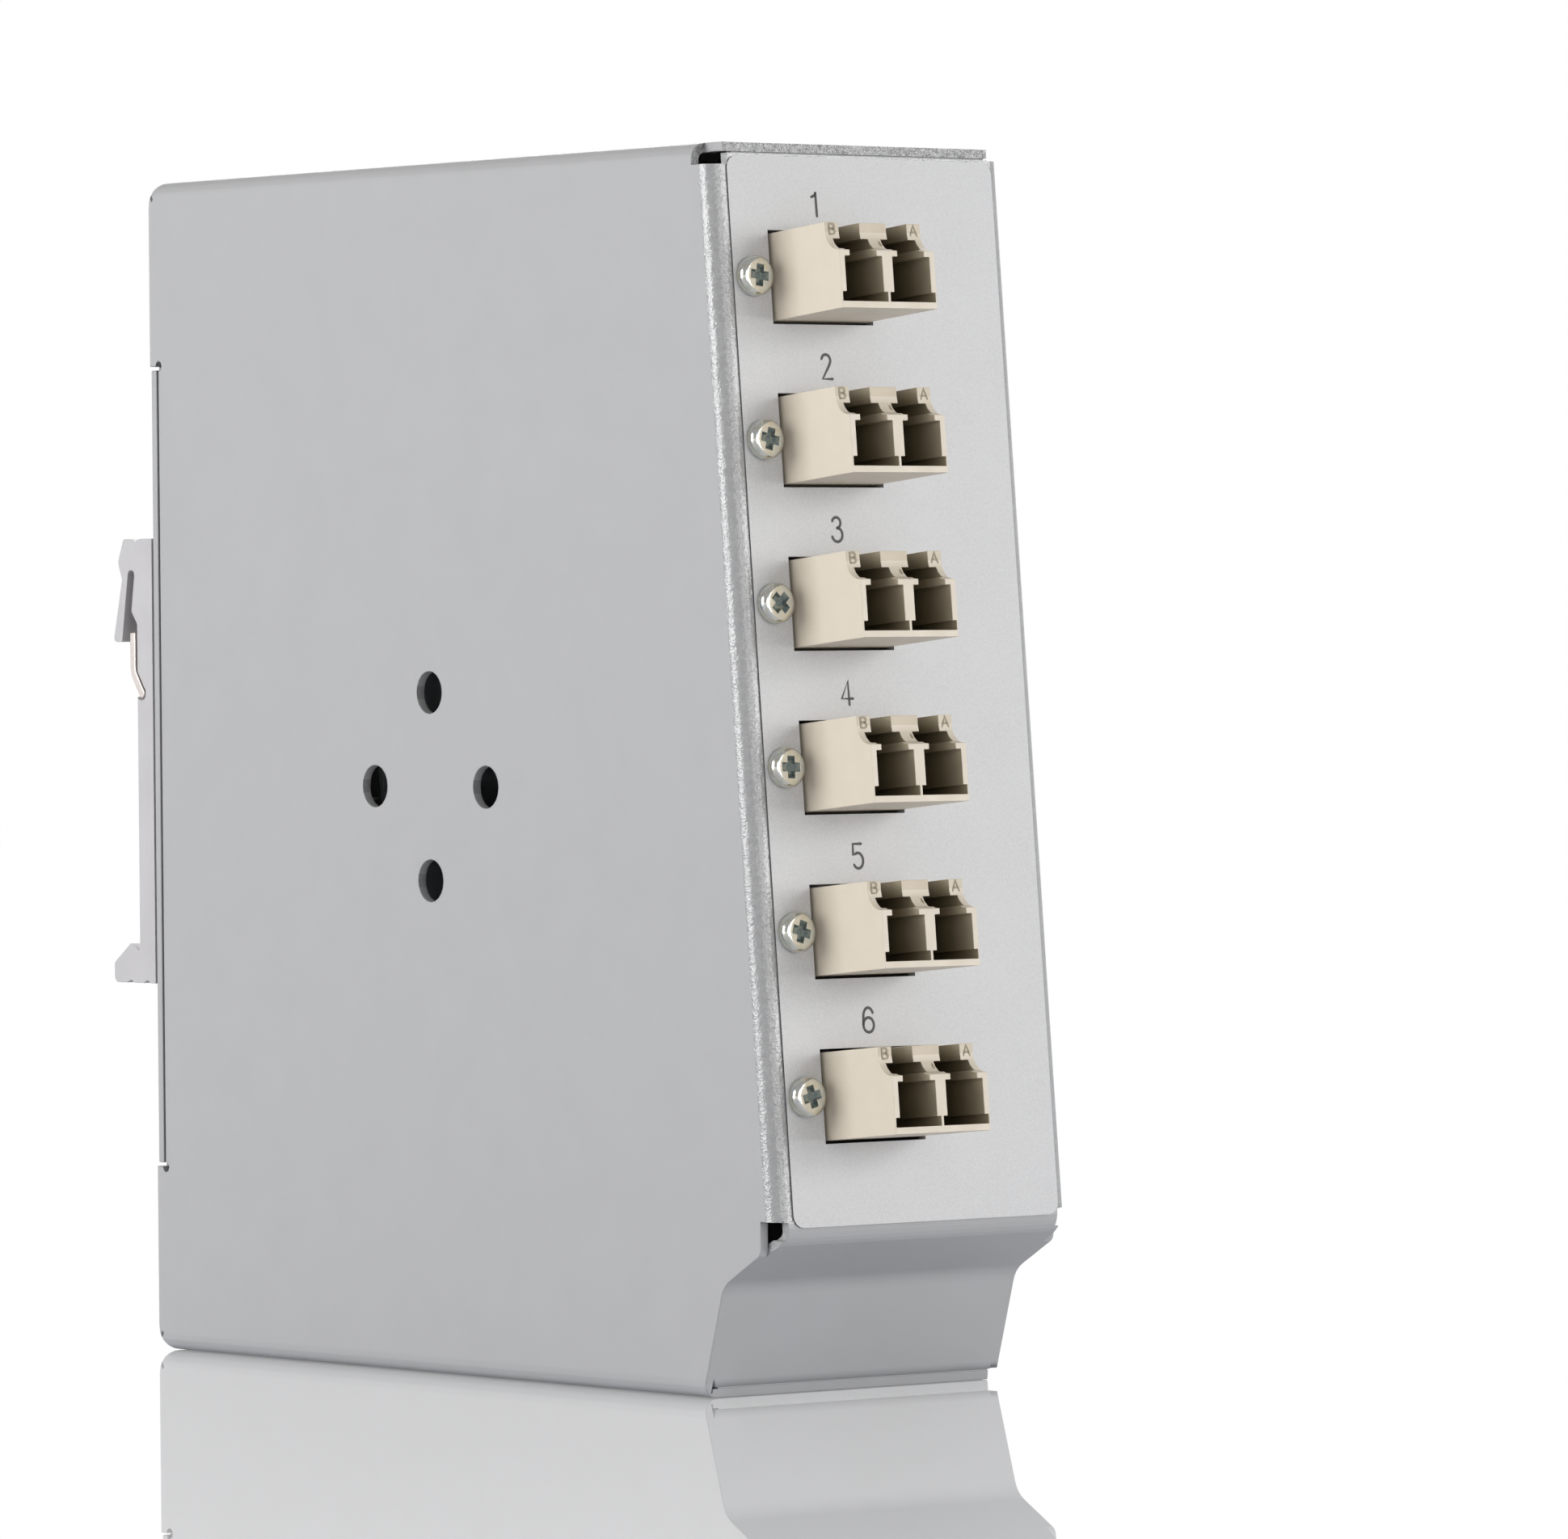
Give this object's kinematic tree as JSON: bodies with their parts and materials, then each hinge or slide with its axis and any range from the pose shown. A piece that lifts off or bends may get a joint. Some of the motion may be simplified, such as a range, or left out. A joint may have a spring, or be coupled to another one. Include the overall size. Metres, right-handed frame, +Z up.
{
  "type": "rail-mounted fibre splice box",
  "caption": "Slim folded-sheet fibre splice box that hangs on a 35 mm mounting rail, with a column of duplex couplers on its leaning front and a clip on its back",
  "frame": {"origin": "middle of the flat underside, half way between the front panel's top edge and the back face", "axes": "+Z up the box, -Y towards the couplers, +Y towards the rail, -X towards the big side with the four small holes"},
  "size_m": [0.039, 0.1325, 0.13],
  "materials": {
    "powder_coat": "satin light grey powder coat",
    "label_foil": "matt silver foil",
    "zinc_steel": "bright zinc",
    "beige_plastic": "beige moulded plastic",
    "clip_grey": "light grey satin",
    "spring_steel": "bright strip steel",
    "tray_plastic": "black",
    "clear_plastic": "clear",
    "holder_plastic": "white",
    "splice_shrink": "clear shrink tube over a steel rod"
  },
  "bodies": {
    "box": {"body_shell": "powder_coat", "front_label": "label_foil", "coupler_1": "beige_plastic", "coupler_2": "beige_plastic", "coupler_3": "beige_plastic", "coupler_4": "beige_plastic", "coupler_5": "beige_plastic", "coupler_6": "beige_plastic", "coupler_screw_1": "zinc_steel", "coupler_screw_2": "zinc_steel", "coupler_screw_3": "zinc_steel", "coupler_screw_4": "zinc_steel", "coupler_screw_5": "zinc_steel", "coupler_screw_6": "zinc_steel", "coupler_screw_7": "zinc_steel", "coupler_screw_8": "zinc_steel", "coupler_screw_9": "zinc_steel", "coupler_screw_10": "zinc_steel", "coupler_screw_11": "zinc_steel", "coupler_screw_12": "zinc_steel", "coupler_nut_1": "zinc_steel", "coupler_nut_2": "zinc_steel", "coupler_nut_3": "zinc_steel", "coupler_nut_4": "zinc_steel", "coupler_nut_5": "zinc_steel", "coupler_nut_6": "zinc_steel", "coupler_nut_7": "zinc_steel", "coupler_nut_8": "zinc_steel", "coupler_nut_9": "zinc_steel", "coupler_nut_10": "zinc_steel", "coupler_nut_11": "zinc_steel", "coupler_nut_12": "zinc_steel", "rear_plate": "powder_coat", "rear_plate_screw_1": "zinc_steel", "rear_plate_screw_2": "zinc_steel", "rear_plate_screw_3": "zinc_steel", "rear_plate_screw_4": "zinc_steel", "din_clip": "clip_grey", "clip_screw_1": "zinc_steel", "clip_screw_2": "zinc_steel", "splice_tray": "tray_plastic", "tray_lid": "clear_plastic", "splice_holder": "holder_plastic", "splice_sleeve_1": "splice_shrink", "splice_sleeve_2": "splice_shrink", "splice_sleeve_3": "splice_shrink", "splice_sleeve_4": "splice_shrink", "splice_sleeve_5": "splice_shrink", "splice_sleeve_6": "splice_shrink", "tray_screw_1": "zinc_steel", "tray_screw_2": "zinc_steel", "cable_bracket": "zinc_steel", "bracket_screw": "zinc_steel"},
    "rail_spring": {"rail_spring": "spring_steel"}
  },
  "joints": [
    {"name": "rail_spring_press", "type": "hinge", "parent": "box", "child": "rail_spring", "pos_m": [0, 0.0543, 0.0732], "axis": [1, 0, 0], "range_deg": [0, 2.5], "stiffness_Nm_per_rad": 0.4}
  ]
}
